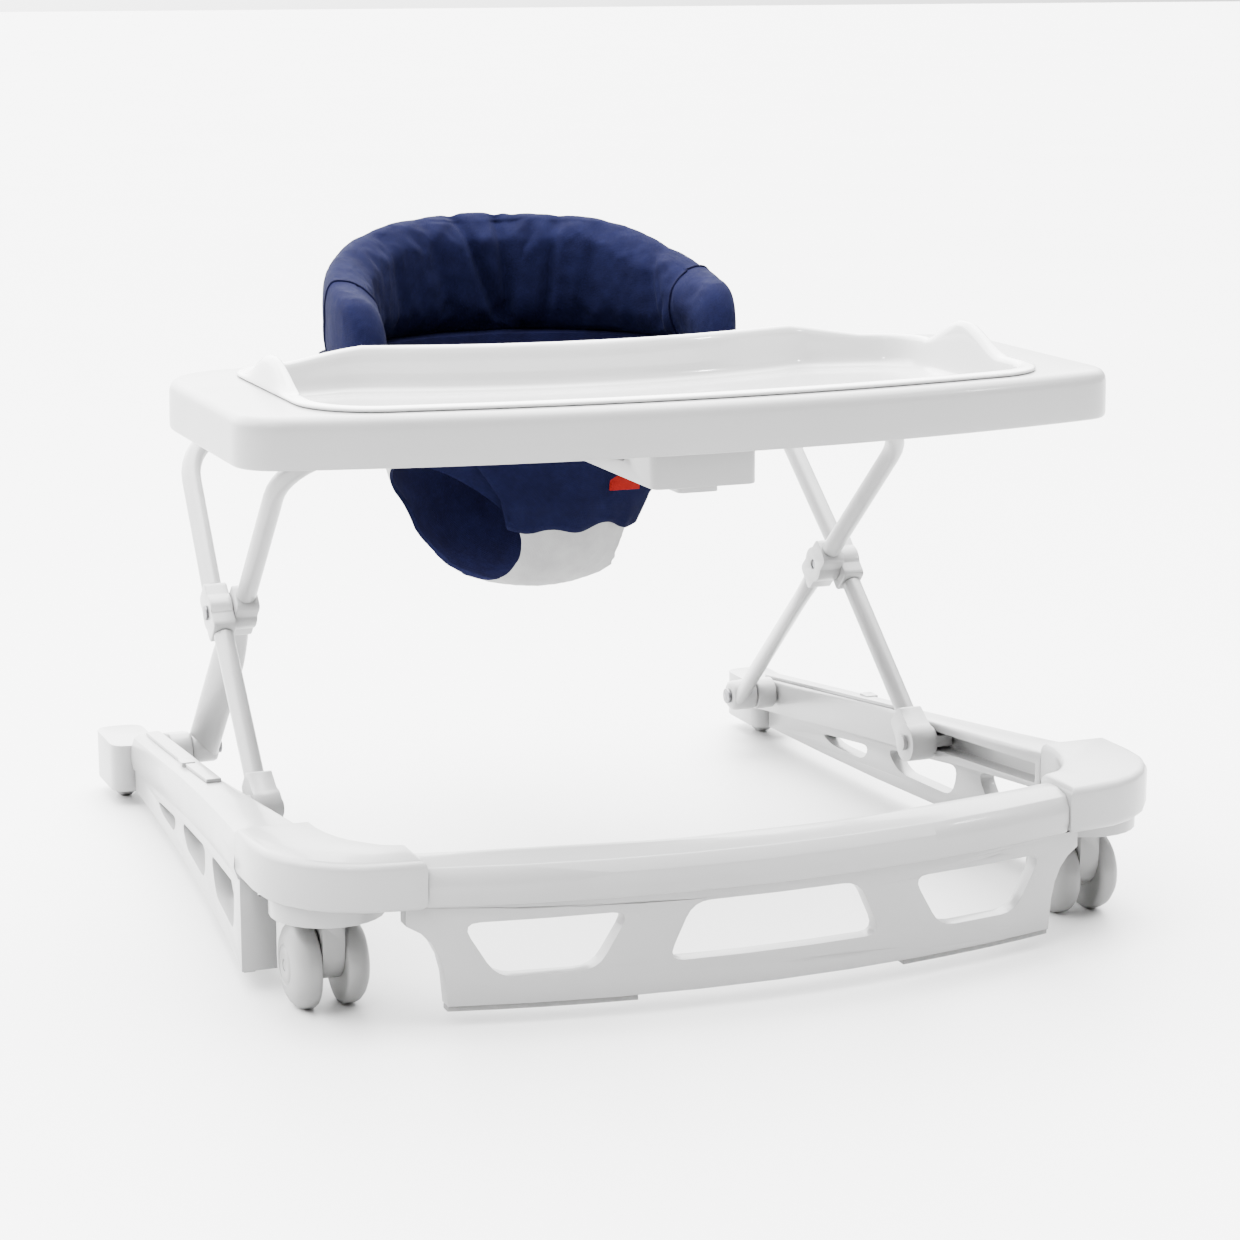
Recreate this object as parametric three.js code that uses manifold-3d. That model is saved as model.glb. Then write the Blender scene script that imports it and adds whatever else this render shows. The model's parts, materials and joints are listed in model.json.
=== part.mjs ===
// A folding baby walker: a bowed plastic base on casters, a tube scissor frame and a tray with a fabric seat.
// Millimetres, +Z up, the front of the walker faces -Y.
// The origin is on the floor, under the middle of the base.

import * as THREE from 'three';
import { mergeVertices } from 'three/addons/utils/BufferGeometryUtils.js';
import Module from 'manifold-3d';

const wasm = await Module();
wasm.setup();

// ---- Driving dimensions ----

const GAP = 0.3; // clearance between pieces that touch
const TUBE_R = 8; // steel tube radius

// The scissor, in the YZ plane: rear foot pivot, middle hinge, front foot pivot.
const REAR_FOOT = { y: 268, z: 56 };
const HINGE = { y: 108, z: 208 };
const FRONT_FOOT = { y: -30, z: 81 };
const OUTER_X = 281; // outer frame leg, at its foot
const LEAN = { inner: 5, outer: 9 }; // how far the upper tubes spread or close towards their bars
const HINGE_X = { inner: 257.5, outer: 277 }; // where the tubes meet the hinge blocks
const BEND_R = 57;

// The base.
const FRONT_Y = -368;
const FRONT_BOW = 0.000569;
const RAIL_HALF = 249; // half the front rail, between the corner caps
const SKIRT_HALF = 262;
const SEAM_Z = 87; // where the front rail sits on the skirt
const RAIL_H = 30.5;
const RAIL_START_Y = -212;
const RAIL_END_Y = 300;
const RAIL_SLOPE = -0.1;
const SKIRT_T = 13;
const SKIRT_Z = 15.3;

// The wheels.
const CASTER = { x: 300, y: -270, trail: 14, r: 32, disc: 20, half: 8 };
const REAR_WHEEL = { x: 306, y: 341, r: 19, width: 15 };

// The tray and the seat.
const TRAY = { bottom: 378, top: 415, half: 343, front: -276, bow: 0.0004, wall: 4 };
const BASIN_FLOOR = 389;
const SEAT = { y: 130, rx: 150, ry: 122, top: 399 };
const PAD = { r: 168, t: 34, bottom: 400, tip: 447, back: 504 };

// ---- Materials ----

function plastic(color, roughness = 0.3) {
  return new THREE.MeshStandardMaterial({ color, roughness, metalness: 0 });
}
const WHITE = () => plastic(0xf2f2f0);
const PAINTED = () => plastic(0xeeeeee, 0.35);
const RUBBER = () => plastic(0xd8d8d6, 0.85);
const FABRIC = (color) => plastic(color, 0.95);
const STEEL = () => new THREE.MeshStandardMaterial({ color: 0x9a9a9c, roughness: 0.35, metalness: 1 });

// ---- Geometry helpers ----

// Maps every vertex of a geometry through f([x, y, z]).
function mapped(geometry, f) {
  const position = geometry.attributes.position;
  for (let i = 0; i < position.count; i++) {
    position.setXYZ(i, ...f(position.getX(i), position.getY(i), position.getZ(i)));
  }
  return geometry;
}

// A three.js geometry as a manifold solid, without the zero-area triangles at its poles.
function solid(geometry) {
  const bare = geometry.clone();
  bare.deleteAttribute('normal');
  bare.deleteAttribute('uv');
  const merged = mergeVertices(bare, 1e-3);
  const index = merged.index.array;
  const triangles = [];
  for (let i = 0; i < index.length; i += 3) {
    const [a, b, c] = [index[i], index[i + 1], index[i + 2]];
    if (a !== b && b !== c && c !== a) triangles.push(a, b, c);
  }
  const mesh = new wasm.Mesh({
    numProp: 3,
    vertProperties: new Float32Array(merged.attributes.position.array),
    triVerts: new Uint32Array(triangles),
  });
  return new wasm.Manifold(mesh);
}

// A manifold solid as a three.js geometry.
function geometryOf(manifold) {
  const mesh = manifold.getMesh();
  const geometry = new THREE.BufferGeometry();
  geometry.setAttribute('position', new THREE.BufferAttribute(mesh.vertProperties, 3));
  geometry.setIndex(new THREE.BufferAttribute(mesh.triVerts, 1));
  return geometry;
}

// The mirror image across the middle plane, with its faces still pointing out.
function mirrored(manifold) {
  const geometry = geometryOf(manifold);
  const index = geometry.index.array;
  for (let i = 0; i < index.length; i += 3) [index[i], index[i + 1]] = [index[i + 1], index[i]];
  return solid(mapped(geometry, (x, y, z) => [-x, y, z]));
}

function union(first, ...others) {
  return others.reduce((sum, part) => sum.add(part), first);
}

function without(first, ...others) {
  return others.reduce((rest, part) => rest.subtract(part), first);
}

// A closed outline through [a, b] points, each corner rounded with radius r.
function outline(points, r = 0) {
  const shape = new THREE.Shape();
  const corners = points.map(([a, b]) => new THREE.Vector2(a, b));
  corners.forEach((corner, i) => {
    const before = corners.at(i - 1);
    const after = corners[(i + 1) % corners.length];
    const cut = (to) => Math.min(r, corner.distanceTo(to) / 2.01);
    const from = corner.clone().lerp(before, cut(before) / corner.distanceTo(before));
    const to = corner.clone().lerp(after, cut(after) / corner.distanceTo(after));
    if (i === 0) shape.moveTo(from.x, from.y);
    else shape.lineTo(from.x, from.y);
    if (r > 0) shape.quadraticCurveTo(corner.x, corner.y, to.x, to.y);
  });
  shape.closePath();
  return shape;
}

// An outline extruded along z, x or y between two planes. Its own axes are XY, YZ or XZ.
function prism(shape, from, to, axis = 'z', steps = 1, curveSegments = 4) {
  const geometry = new THREE.ExtrudeGeometry(shape, {
    depth: to - from, steps, curveSegments, bevelEnabled: false,
  });
  const place = {
    z: (a, b, d) => [a, b, from + d],
    x: (a, b, d) => [from + d, a, b],
    y: (a, b, d) => [a, to - d, b],
  }[axis];
  return solid(mapped(geometry, place));
}

function box(x0, x1, y0, y1, z0, z1) {
  const geometry = new THREE.BoxGeometry(x1 - x0, y1 - y0, z1 - z0);
  return solid(geometry.translate((x0 + x1) / 2, (y0 + y1) / 2, (z0 + z1) / 2));
}

// A cylinder along X from x0 to x1 about the point (y, z).
function rod(x0, x1, y, z, r, sides = 16) {
  const geometry = new THREE.CylinderGeometry(r, r, x1 - x0, sides).rotateZ(Math.PI / 2);
  return solid(geometry.translate((x0 + x1) / 2, y, z));
}

// An upright cylinder from z0 to z1 about the point (x, y).
function post(x, y, r, z0, z1, sides = 24) {
  const geometry = new THREE.CylinderGeometry(r, r, z1 - z0, sides).rotateX(Math.PI / 2);
  return solid(geometry.translate(x, y, (z0 + z1) / 2));
}

// A path of straight runs through the points, joined by quarter-arc-like bends of radius r.
function bentPath(points, r) {
  const path = new THREE.CurvePath();
  let start = points[0];
  for (let i = 1; i < points.length - 1; i++) {
    const into = points[i].clone().sub(points[i - 1]).normalize();
    const out = points[i + 1].clone().sub(points[i]).normalize();
    const reach = r * Math.tan(into.angleTo(out) / 2);
    const arm = reach * 0.552;
    const from = points[i].clone().addScaledVector(into, -reach);
    const to = points[i].clone().addScaledVector(out, reach);
    path.add(new THREE.LineCurve3(start, from));
    path.add(new THREE.CubicBezierCurve3(
      from, from.clone().addScaledVector(into, arm), to.clone().addScaledVector(out, -arm), to));
    start = to;
  }
  path.add(new THREE.LineCurve3(start, points.at(-1)));
  return path;
}

function disc(r, sides) {
  const points = [];
  for (let i = 0; i < sides; i++) {
    const angle = (2 * Math.PI * i) / sides;
    points.push([r * Math.cos(angle), r * Math.sin(angle)]);
  }
  return outline(points);
}

function tube(path, r, steps, sides = 12) {
  return solid(new THREE.ExtrudeGeometry(disc(r, sides), { extrudePath: path, steps, bevelEnabled: false }));
}

// ---- The scissor's lines ----

const vector = (x, p) => new THREE.Vector3(x, p.y, p.z);
// The point a given way along the line from a to b, 0 at a and 1 at b.
const between = (a, b, t) => ({ y: a.y + (b.y - a.y) * t, z: a.z + (b.z - a.z) * t });
const FRONT_BAR = between(REAR_FOOT, HINGE, 2);
const REAR_BAR = between(FRONT_FOOT, HINGE, 2);
const SLOT_SLOPE = (REAR_FOOT.z - FRONT_FOOT.z) / (REAR_FOOT.y - FRONT_FOOT.y);
const INNER_ARM = Math.hypot(HINGE.y - REAR_FOOT.y, HINGE.z - REAR_FOOT.z);
const OUTER_ARM = Math.hypot(HINGE.y - FRONT_FOOT.y, HINGE.z - FRONT_FOOT.z);
const BLOCK_HALF = 22;
const END_GAP = 1.1; // between a hinge block and a tube that leans into it

// ---- The base's lines ----

const frontBow = (x) => FRONT_Y + FRONT_BOW * x * x;
const railTop = (y) => 116 + RAIL_SLOPE * (y + 225);
const railBottom = (y) => railTop(y) - RAIL_H;
const sideOuter = (y) => 326.3 - 0.0883 * y + 8.35e-5 * y * y;
const railInner = (y) => 295 - 12 * Math.min(1, Math.max(0, (y - 100) / 200));
const slotLine = (y) => FRONT_FOOT.z + SLOT_SLOPE * (y - FRONT_FOOT.y);

// A slab across x bent to the bow of the front.
function bowed(shape, half, steps) {
  return mapped(new THREE.ExtrudeGeometry(shape, {
    depth: 2 * half, steps, curveSegments: 4, bevelEnabled: false,
  }), (a, b, d) => [d - half, a + frontBow(d - half), b]);
}

function frontRail() {
  const section = new THREE.Shape();
  section.moveTo(38, SEAM_Z + 1);
  section.lineTo(-3, SEAM_Z + 1);
  section.bezierCurveTo(-10, 98, -9, 119, 12, 119);
  section.lineTo(24, 119);
  section.quadraticCurveTo(38, 118, 38, 104);
  return solid(bowed(section, RAIL_HALF, 16));
}

// A window through a skirt, from its corner points.
const windowHole = (points, from, to, axis) => prism(outline(points, 13), from, to, axis);

function frontSkirt() {
  const edge = new THREE.Shape();
  const top = SEAM_Z + 0.7;
  edge.moveTo(-235, SKIRT_Z);
  edge.lineTo(235, SKIRT_Z);
  edge.lineTo(237, 38);
  edge.quadraticCurveTo(241, 66, SKIRT_HALF, 74);
  edge.lineTo(SKIRT_HALF, SEAM_Z - GAP);
  edge.lineTo(RAIL_HALF, SEAM_Z - GAP);
  edge.lineTo(RAIL_HALF, top);
  edge.lineTo(-RAIL_HALF, top);
  edge.lineTo(-RAIL_HALF, SEAM_Z - GAP);
  edge.lineTo(-SKIRT_HALF, SEAM_Z - GAP);
  edge.lineTo(-SKIRT_HALF, 74);
  edge.quadraticCurveTo(-241, 66, -237, 38);
  const flat = [prism(edge, 0, SKIRT_T, 'y'),
    windowHole([[-83, 38], [83, 38], [64, 80], [-64, 80]], -1, SKIRT_T + 1, 'y')];
  for (const side of [-1, 1]) {
    const points = [[109, 77], [226, 75], [202, 35], [133, 36]].map(([x, z]) => [side * x, z]);
    flat.push(windowHole(side > 0 ? points : points.reverse(), -1, SKIRT_T + 1, 'y'));
  }
  const panel = geometryOf(without(...flat).refineToLength(64));
  return solid(mapped(panel, (x, y, z) => [x, y + frontBow(x), z]));
}

function frontGrip() {
  const strip = new THREE.BoxGeometry(132, 9, 4, 4, 1, 1).translate(169, 2 + 4.5, 13);
  return solid(mapped(strip, (x, y, z) => [x, y + frontBow(x), z]));
}

// The right front corner cap: a rounded corner over the caster that joins the two rails.
function frontCap() {
  const edge = new THREE.Shape();
  const [inner, rear] = [RAIL_HALF + GAP, RAIL_START_Y - GAP];
  edge.moveTo(inner, frontBow(inner) - 8);
  edge.lineTo(270, -338.5);
  edge.bezierCurveTo(316, -336, 351, -300, 351, -254);
  edge.lineTo(351, rear);
  edge.lineTo(295, rear);
  edge.bezierCurveTo(295, -252, 282, -272, 264, -288);
  edge.lineTo(inner, -294);
  const geometry = new THREE.ExtrudeGeometry(edge, {
    depth: 24, bevelThickness: 6, bevelSize: 6, bevelOffset: -6, bevelSegments: 3, curveSegments: 6,
  });
  return solid(mapped(geometry, (x, y, z) => [x, y, z + SEAM_Z + 6]));
}

function lowerShell() {
  return without(post(CASTER.x, -268, 41, 72, SEAM_Z - GAP, 28),
    post(CASTER.x, CASTER.y, 7.4, 70, 84, 16),
    prism(outline([[200, -400], [SKIRT_HALF + 1, -400], [SKIRT_HALF + 1, -200], [200, -200]]), 60, 90));
}

// The right side rail, half-round outside and flat inside, with the slot that the front foot slides in.
function sideRail() {
  const section = new THREE.Shape();
  section.moveTo(0, 0);
  section.lineTo(1, 0);
  section.bezierCurveTo(1.12, 0.35, 1.08, 1, 0.7, 1);
  section.lineTo(0.12, 1);
  section.quadraticCurveTo(0, 1, 0, 0.85);
  const geometry = new THREE.ExtrudeGeometry(section, {
    depth: RAIL_END_Y - RAIL_START_Y, steps: 12, curveSegments: 4, bevelEnabled: false,
  });
  const rail = solid(mapped(geometry, (u, w, d) => {
    const y = RAIL_END_Y - d;
    const inner = railInner(y);
    return [inner + u * (sideOuter(y) - inner), y, railBottom(y) + w * RAIL_H];
  }));
  return without(rail, sloped(280, 311, RAIL_START_Y + 8, -18, 8));
}

// A bar along the slot line, from x0 to x1 and y0 to y1, of the given half height.
function sloped(x0, x1, y0, y1, half) {
  return prism(outline([[y0, slotLine(y0) - half], [y1, slotLine(y1) - half],
    [y1, slotLine(y1) + half], [y0, slotLine(y0) + half]]), x0, x1, 'x');
}

function railCover() {
  const strip = new THREE.BoxGeometry(12, 266, 3, 1, 5, 1).translate(0, 155, 1.5 + GAP);
  const cover = mapped(strip, (x, y, z) => [x + (railInner(y) + sideOuter(y)) / 2 - 4, y, z + railTop(y)]);
  return union(solid(cover), box(300, 311, 104, 118, railTop(111) + 1.5, railTop(111) + 5));
}

function sideSkirt() {
  const [front, rear] = [RAIL_START_Y, RAIL_END_Y - 5];
  const seam = (y) => railBottom(y) - GAP;
  const edge = outline([[front, SKIRT_Z], [rear, SKIRT_Z], [rear, seam(rear)], [front, seam(front)]]);
  const holes = [[-182, -66, 34, 72], [-38, 76, 30, 58], [106, 192, 27, 42]].map(([y0, y1, z0, z1]) =>
    windowHole([[y0 + 8, z0], [y1 - 20, z0], [y1, z1 + RAIL_SLOPE * (y1 - y0)], [y0, z1]], -50, 50, 'x'));
  const end = box(-26, -1, front, front + 4, SKIRT_Z, 70);
  const panel = without(union(prism(edge, -SKIRT_T, 0, 'x'), end), ...holes);
  return solid(mapped(geometryOf(panel.refineToLength(120)), (x, y, z) => [x + sideOuter(y) - 1, y, z]));
}

function sideGrip() {
  const strip = new THREE.BoxGeometry(9, 180, 4, 1, 3, 1).translate(-7, -112, 13);
  return solid(mapped(strip, (x, y, z) => [x + sideOuter(y) - 1, y, z]));
}

function rearHousing() {
  const { x, y, r, width } = REAR_WHEEL;
  const [inner, outer, front, rear] = [283, 324, RAIL_END_Y + GAP, 374.6];
  const edge = outline([[inner, front], [outer, front], [outer, rear], [inner, rear]], 15);
  const well = outline([[y - r - 3, 0], [y + r + 3, 0], [y + r + 3, 30],
    [y + 8, 43], [y - 8, 43], [y - r - 3, 30]]);
  return without(prism(edge, 13, 54), prism(well, x - width / 2 - 1.5, x + width / 2 + 1.5, 'x'),
    rod(x - 15, x + 15, y, r, 3.5, 12));
}

function rearWheel() {
  const { x, y, r, width } = REAR_WHEEL;
  const half = width / 2;
  const tyre = [[0, -half], [r - 3, -half], [r, -half + 3], [r, half - 3], [r - 3, half], [0, half]];
  const profile = tyre.map(([a, b]) => new THREE.Vector2(a, b));
  const lathe = new THREE.LatheGeometry(profile, 28).rotateZ(-Math.PI / 2).translate(x, y, r);
  return union(solid(lathe), rod(x - 14, x + 14, y, r, 3, 12));
}

// The bracket arm that reaches forward from the rear housing and holds the inner leg's foot.
function rearBracket() {
  const { y, z } = REAR_FOOT;
  const side = outline([[y, z - 12], [330, 34], [330, 53], [y + 20, z + 10], [y, z + 14]], 4);
  const arm = union(prism(side, 265, 282.6, 'x'), rod(265, 282.6, y, z, 14, 24));
  return without(arm, rod(260, 279, y, z, 4.4));
}

// The bolt through the inner leg's foot: head inboard, shank in the bracket.
function footBolt() {
  const { y, z } = REAR_FOOT;
  return union(rod(237.5, 240.2, y, z, 7), rod(240, 278, y, z, 4));
}

// ---- The casters ----

function casterHood() {
  const { x, y, trail, r, disc: thick, half } = CASTER;
  const axleY = y + trail;
  const axle = half + thick - 1;
  const profile = new THREE.Shape();
  profile.moveTo(y - 13, 65);
  profile.lineTo(y - 13, 52);
  profile.quadraticCurveTo(y - 14, 26, axleY - 4, 20);
  profile.lineTo(axleY + 18, 22);
  profile.quadraticCurveTo(axleY + 27, 44, axleY + 14, 56);
  profile.lineTo(y + 13, 65);
  return union(prism(profile, x - half, x + half, 'x'), post(x, y, 14, 64.7, 71.5), post(x, y, 7, 71, 82, 16),
    rod(x - axle, x + axle, axleY, r, 3.5, 12));
}

// One disc of a caster, on the side given by sign.
function casterDisc(sign) {
  const { x, y, trail, r, disc: thick, half } = CASTER;
  const profile = [[4.2, 0], [r - 2.5, 0], [r, 3], [r, thick - 8], [r - 3.5, thick - 3], [r - 12, thick],
    [4.2, thick], [4.2, 0]];
  const lathe = new THREE.LatheGeometry(profile.map(([a, b]) => new THREE.Vector2(a, b)), 28);
  lathe.rotateZ(sign > 0 ? -Math.PI / 2 : Math.PI / 2);
  return solid(lathe.translate(x + sign * (half + 0.5), y + trail, r));
}

// ---- The scissor frame ----

// The U-shaped upper tube from one hinge block, across at the bar, to the other.
function upperTube(low, high, bar, arm) {
  const start = between(HINGE, bar, (BLOCK_HALF + END_GAP) / arm);
  const corners = [[-low, start], [-high, bar], [high, bar], [low, start]];
  return tube(bentPath(corners.map(([x, p]) => vector(x, p)), BEND_R), TUBE_R, 36, 10);
}

function outerLeg() {
  const top = between(HINGE, FRONT_FOOT, (BLOCK_HALF + END_GAP) / OUTER_ARM);
  const low = between(FRONT_FOOT, HINGE, 29 / OUTER_ARM);
  return tube(new THREE.LineCurve3(vector(OUTER_X, low), vector(HINGE_X.outer, top)), TUBE_R, 1);
}

// The inner leg is a flat oval moulding turned about its own axis, with a boss at the foot.
function innerLeg() {
  const along = new THREE.Vector3(0, HINGE.y - REAR_FOOT.y, HINGE.z - REAR_FOOT.z).normalize();
  const normal = new THREE.Vector3(0, -along.z, along.y).multiplyScalar(-1);
  const wide = new THREE.Vector3(0.62, 0, 0).addScaledVector(normal, 0.785);
  const narrow = new THREE.Vector3().crossVectors(along, wide);
  const foot = vector(253, REAR_FOOT);
  const head = vector(256.5, between(HINGE, REAR_FOOT, (BLOCK_HALF + GAP) / INNER_ARM));
  const length = head.distanceTo(foot);
  const geometry = new THREE.CylinderGeometry(1, 1, length, 14, 4).rotateX(Math.PI / 2);
  const oval = mapped(geometry, (a, b, d) => {
    const t = d / length + 0.5;
    const point = foot.clone().lerp(head, t);
    const spread = 15.5 - 5 * Math.max(0, (t - 0.75) / 0.25) ** 2;
    return point.addScaledVector(wide, a * spread).addScaledVector(narrow, b * 6.75).toArray();
  });
  const { y, z } = REAR_FOOT;
  const keepBelow = box(200, 300, 0, 400, 0, 400).subtract(rod(200, 300, HINGE.y, HINGE.z, 16.5, 24));
  const boss = rod(241, 264.6, y, z, 13.5, 24);
  return without(union(solid(oval), boss), rod(230, 300, y, z, 4.4), box(264.7, 300, 0, 400, 0, 400),
    box(200, 240.9, 200, 400, 0, 100)).intersect(keepBelow);
}

// A hinge block round the middle pivot, long along its own tube, from x0 to x1.
function hingeBlock(x0, x1, toward) {
  const angle = Math.atan2(toward.z - HINGE.z, toward.y - HINGE.y);
  const half = BLOCK_HALF;
  const body = [[-half, -12], [half, -12], [half, 12], [-half, 12]].map(([a, b]) => [
    HINGE.y + a * Math.cos(angle) - b * Math.sin(angle),
    HINGE.z + a * Math.sin(angle) + b * Math.cos(angle)]);
  return without(union(prism(outline(body, 5), x0, x1, 'x'), rod(x0, x1, HINGE.y, HINGE.z, 15, 24)),
    rod(x0 - 1, x1 + 1, HINGE.y, HINGE.z, 4.4));
}

function hingeBolt() {
  return union(rod(249, 286.5, HINGE.y, HINGE.z, 4), rod(286.3, 288, HINGE.y, HINGE.z, 6));
}

// The knuckle at the foot of the outer leg.
function frontFoot() {
  const { y, z } = FRONT_FOOT;
  const angle = Math.atan2(HINGE.z - z, HINGE.y - y);
  const neck = [[0, -15], [28.6, -11], [28.6, 11], [0, 15]].map(([a, b]) => [
    y + a * Math.cos(angle) - b * Math.sin(angle), z + a * Math.sin(angle) + b * Math.cos(angle)]);
  return without(union(prism(outline(neck, 3), 270, 290, 'x'), rod(269, 290, y, z, 16, 24)),
    rod(260, 300, y, z, 4.4));
}

// The slider that runs in the rail's slot, with the pin that carries the knuckle.
function slider() {
  const { y, z } = FRONT_FOOT;
  return union(rod(290.4, 294, y, z, 12, 24), sloped(293.9, 308, y - 11, y + 11, 4.6),
    rod(266, 291, y, z, 4), rod(265.5, 268.6, y, z, 6.5));
}

// ---- The tray ----

// The tray's edge, closed, drawn d inside its outer edge. The rear edge curves round the child.
function trayEdge(d = 0) {
  const { half, front, bow } = TRAY;
  const right = [];
  for (const x of [0, 75, 150, 225, 300]) right.push([x, front + bow * x * x + d]);
  for (let i = 1; i <= 6; i++) {
    const angle = (Math.PI / 2) * (i / 6);
    right.push([half - 34 + (34 - d) * Math.sin(angle), -203 - (34 - d) * Math.cos(angle)]);
  }
  for (let i = 0; i <= 4; i++) {
    const angle = (Math.PI / 2) * 0.93 * (i / 4);
    right.push([half - 60 + (60 - d) * Math.cos(angle), -30 + (60 - d) * Math.sin(angle)]);
  }
  right.push([205, 46 - d]);
  for (const x of [150, 100, 50, 0]) right.push([x, bellyLine(x) - d]);
  const left = right.slice(1, -1).reverse().map(([x, y]) => [-x, y]);
  return outline([...right, ...left]);
}

// The concave line in front of the child's belly.
const bellyLine = (x) => 5 + x * x / 930;

// The basin's edge, drawn d inside the outer face of the removable insert's basin.
function basinEdge(d = 0) {
  const right = [];
  for (const x of [0, 75, 150, 220]) right.push([x, -250 + TRAY.bow * x * x + d]);
  for (let i = 1; i <= 5; i++) {
    const angle = (Math.PI / 2) * (i / 5);
    right.push([230 + (50 - d) * Math.sin(angle), -179 - (50 - d) * Math.cos(angle)]);
  }
  for (let i = 0; i <= 4; i++) {
    const angle = (Math.PI / 2) * 0.9 * (i / 4);
    right.push([238 + (42 - d) * Math.cos(angle), -30 + (42 - d) * Math.sin(angle)]);
  }
  for (const x of [180, 120, 60, 0]) right.push([x, bellyLine(x) - 22 - d]);
  const left = right.slice(1, -1).reverse().map(([x, y]) => [-x, y]);
  return outline([...right, ...left]);
}

function trayShell() {
  const { bottom, top, wall } = TRAY;
  const lid = without(prism(trayEdge(), bottom, top), prism(trayEdge(wall), bottom - 1, top - wall));
  const tub = prism(basinEdge(-3.6), BASIN_FLOOR - 3.6, top - 1);
  return without(union(lid, tub), prism(basinEdge(-0.6), BASIN_FLOOR - 0.6, top + 1));
}

// The removable insert: a basin with a flange, a raised belly wall and a raised arch at each end.
function trayInsert() {
  const { top } = TRAY;
  const rim = top + GAP;
  const flange = prism(basinEdge(-11), rim, rim + 3);
  const basin = prism(basinEdge(0), BASIN_FLOOR, rim + 1);
  const wallShape = outline([...[-180, -90, 0, 90, 180].map((x) => [x, bellyLine(x) - 17]),
    ...[180, 90, 0, -90, -180].map((x) => [x, bellyLine(x) - 11.5])]);
  const belly = prism(wallShape, rim + 1, rim + 10);
  const arches = [-1, 1].map((side) => {
    const arch = new THREE.Shape();
    arch.moveTo(-150, rim + 1);
    arch.bezierCurveTo(-130, rim + 28, -70, rim + 28, -50, rim + 1);
    return side > 0 ? prism(arch, 280.5, 289.5, 'x') : prism(arch, -289.5, -280.5, 'x');
  });
  return without(union(flange, basin, belly, ...arches), prism(basinEdge(3), BASIN_FLOOR + 3, rim + 60));
}

// The housing under the tray that the front cross bar slides in to set the height.
function adjusterHousing() {
  const bar = (y) => FRONT_BAR.z + SLOT_SLOPE * (y - FRONT_BAR.y);
  const [front, rear] = [-178, -40];
  const half = 10.2;
  const slot = outline([[front, bar(front) - half], [rear, bar(rear) - half],
    [rear, bar(rear) + half], [front, bar(front) + half]], 3);
  const shell = prism(outline([[-41, -235], [41, -235], [41, -30], [-41, -30]], 8), 347, 376.5);
  const flange = box(-50, 50, -225, -180, 372, 376.5);
  return without(union(shell, flange), prism(slot, -60, 60, 'x'), box(-8.5, 8.5, -216, -186, 346, 360));
}

// The sprung latch under the housing, pulled forward to change the height.
function heightLatch() {
  return union(prism(outline([[-16, -222], [16, -222], [16, -190], [-16, -190]], 5), 341, 346.6),
    box(-8, 8, -207, -187, 346, 358));
}

function ellipse(rx, ry, sides = 40) {
  const points = [];
  for (let i = 0; i < sides; i++) {
    const angle = (2 * Math.PI * i) / sides;
    points.push([rx * Math.cos(angle), SEAT.y + ry * Math.sin(angle)]);
  }
  return outline(points);
}

// The ring behind the tray that carries the seat.
function seatRing() {
  return without(prism(ellipse(178, 172), 384, 396), prism(ellipse(153.5, 126), 380, 400),
    prism(trayEdge(-0.5), 370, 420));
}

// A band round the back of the seat between two radii, cut off ahead of the line y = tip.
function backBand(outer, inner, z0, z1, tip) {
  return without(prism(ellipse(outer, outer), z0, z1), prism(ellipse(inner, inner), z0 - 1, z1 + 1),
    box(-300, 300, -300, tip, 300, 600));
}

// Cuts what is above the sloping top line, d below the pad's top.
function topCut(d) {
  const line = outline([[60, PAD.tip - 8 - d], [90, PAD.tip - d], [SEAT.y + PAD.r - 16, PAD.back - d],
    [400, PAD.back - d], [400, 700], [60, 700]]);
  return prism(line, -300, 300, 'x');
}

function backrestFrame() {
  return without(backBand(155, 151, 396.3, 480, 120), topCut(32));
}

function backPad() {
  const { r, t, bottom, back } = PAD;
  const slot = backBand(156.5, 149.5, bottom - 5, 490, 114).subtract(topCut(27));
  return without(backBand(r, r - t, bottom, back, 78), topCut(0), slot);
}

// A snap clip from the seat ring down round the rear cross bar.
function barClip(x) {
  const { y, z } = REAR_BAR;
  return without(box(x - 9, x + 9, y - 14, y + 11, z - 11, 383.6), rod(x - 20, x + 20, y, z, 8.8),
    box(x - 20, x + 20, y - 5, y + 5, z - 20, z));
}

// The sling's shape: height, half width, half length and the middle's y.
const SLING = [[208, 0.1, 0.1, 140], [210, 32, 38, 140], [222, 68, 61, 137], [250, 98, 76, 133],
  [290, 119, 86, 129], [335, 133, 95, 128], [SEAT.top, SEAT.rx, SEAT.ry, SEAT.y]];

// One column of the sling's shape at a height, with the whole shape raised by lift.
function slingAt(z, column, lift) {
  let i = 1;
  while (i < SLING.length - 1 && z > SLING[i][0] + lift) i++;
  const [below, above] = [SLING[i - 1], SLING[i]];
  const t = Math.min(1, Math.max(0, (z - lift - below[0]) / (above[0] - below[0])));
  return below[column] * (1 - t) + above[column] * t;
}

// The bowl's solid, inset by so much and raised by lift, up to the height cap.
function slingBowl(inset, lift, cap) {
  const profile = SLING.map(([z, rx]) => new THREE.Vector2(Math.max(0, rx - inset), z + lift));
  profile[0].x = 0;
  profile.at(-1).y = cap;
  profile.push(new THREE.Vector2(0, cap));
  const lathe = new THREE.LatheGeometry(profile, 28).rotateX(Math.PI / 2);
  return solid(mapped(lathe, (x, y, z) => {
    const squeeze = (slingAt(z, 2, lift) - inset) / Math.max(1, slingAt(z, 1, lift) - inset);
    return [x, slingAt(z, 3, lift) + y * squeeze, z];
  }));
}

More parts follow.
